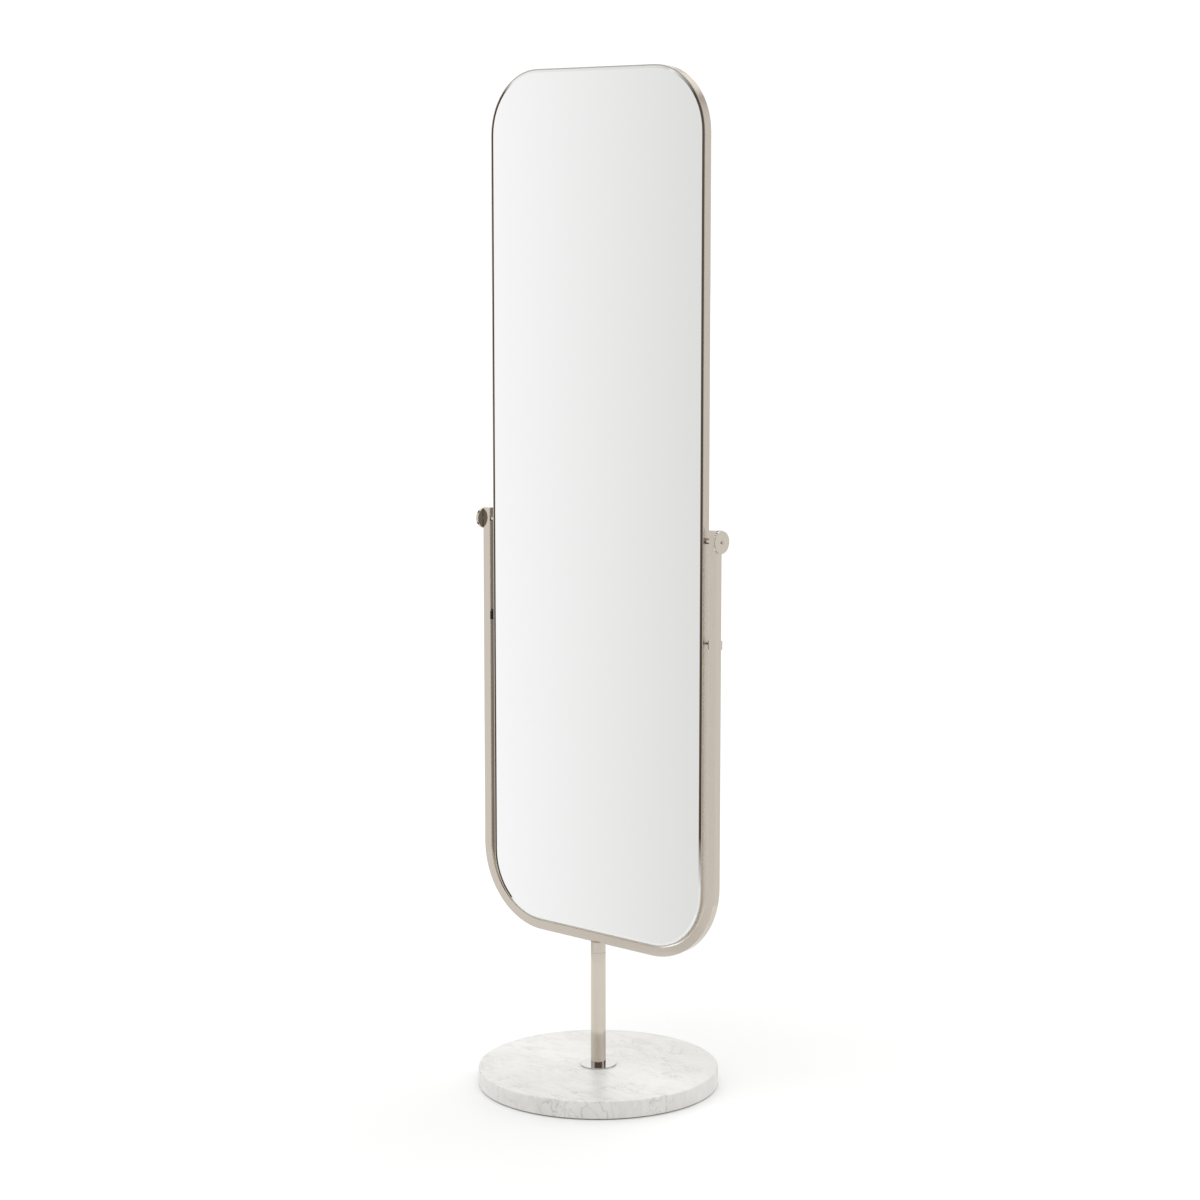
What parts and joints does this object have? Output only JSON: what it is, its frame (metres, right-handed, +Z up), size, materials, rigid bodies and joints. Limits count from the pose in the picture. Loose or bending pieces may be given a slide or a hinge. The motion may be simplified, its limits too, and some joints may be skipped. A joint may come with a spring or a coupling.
{
  "type": "floor mirror",
  "caption": "Tall floor mirror with round corners, hung at mid height between the arms of a metal yoke on a short column and round marble base; tilts back and is held by side knobs.",
  "frame": {"origin": "middle of the base's underside, on the floor", "axes": "+Z up, -Y the way the mirror faces, +X to the viewer's right when facing the mirror"},
  "size_m": [0.539, 0.4064, 1.6986],
  "materials": {
    "felt": "matted felt",
    "marble": "polished, soft grey veins",
    "polished_nickel": "polished nickel",
    "zinc_steel": "zinc plated",
    "mirror_silver": "bevelled mirror",
    "foam_tape": "foam",
    "hardboard": "raw hardboard",
    "painted_board": "matt black paint",
    "black_rubber": "moulded",
    "black_nylon": "turned nylon"
  },
  "bodies": {
    "stand": {"base_pad": "felt", "marble_base": "marble", "base_flange": "polished_nickel", "base_washer": "zinc_steel", "base_lock_washer": "zinc_steel", "base_bolt": "zinc_steel", "column_tube": "polished_nickel", "column_lower_plug": "zinc_steel", "column_upper_plug": "zinc_steel", "yoke_stud": "zinc_steel", "yoke_socket": "polished_nickel", "yoke_tube": "polished_nickel", "stop_screws": "zinc_steel", "arm_end_cap_left": "polished_nickel", "arm_end_cap_right": "polished_nickel", "stop_plate_left": "polished_nickel", "stop_plate_right": "polished_nickel", "stop_pad_left": "black_rubber", "stop_pad_right": "black_rubber", "side_bumper_left": "black_rubber", "side_bumper_right": "black_rubber", "pivot_bush_left": "black_nylon", "pivot_bush_right": "black_nylon"},
    "mirror": {"mirror_frame": "polished_nickel", "mirror_glass": "mirror_silver", "glass_tape": "foam_tape", "backing_board": "hardboard", "back_panel": "painted_board", "panel_tabs": "zinc_steel", "back_screws": "zinc_steel", "pivot_block_left": "zinc_steel", "pivot_block_right": "zinc_steel", "pivot_stud_left": "polished_nickel", "pivot_stud_right": "polished_nickel", "pivot_spacer_left": "polished_nickel", "pivot_spacer_right": "polished_nickel"},
    "washer_left": {"knob_washer_left": "zinc_steel"},
    "knob_left": {"knob_left": "polished_nickel"},
    "washer_right": {"knob_washer_right": "zinc_steel"},
    "knob_right": {"knob_right": "polished_nickel"}
  },
  "joints": [
    {"name": "mirror_tilt", "type": "hinge", "parent": "stand", "child": "mirror", "pos_m": [0, 0, 0.9455], "axis": [-1, 0, 0], "range_deg": [0, 90]},
    {"name": "washer_left_travel", "type": "slide", "parent": "mirror", "child": "washer_left", "axis": [-1, 0, 0], "range_m": [0, 0.001]},
    {"name": "knob_left_turn", "type": "hinge", "parent": "washer_left", "child": "knob_left", "pos_m": [-0.265, 0, 0.9455], "axis": [-1, 0, 0], "range_deg": [0, 360]},
    {"name": "washer_right_travel", "type": "slide", "parent": "mirror", "child": "washer_right", "axis": [1, 0, 0], "range_m": [0, 0.001]},
    {"name": "knob_right_turn", "type": "hinge", "parent": "washer_right", "child": "knob_right", "pos_m": [0.265, 0, 0.9455], "axis": [1, 0, 0], "range_deg": [0, 360]}
  ],
  "couplings": [
    {"joint": "washer_left_travel", "follows": "knob_left_turn", "m_per_rad": 0.00015915},
    {"joint": "washer_right_travel", "follows": "knob_right_turn", "m_per_rad": 0.00015915}
  ]
}
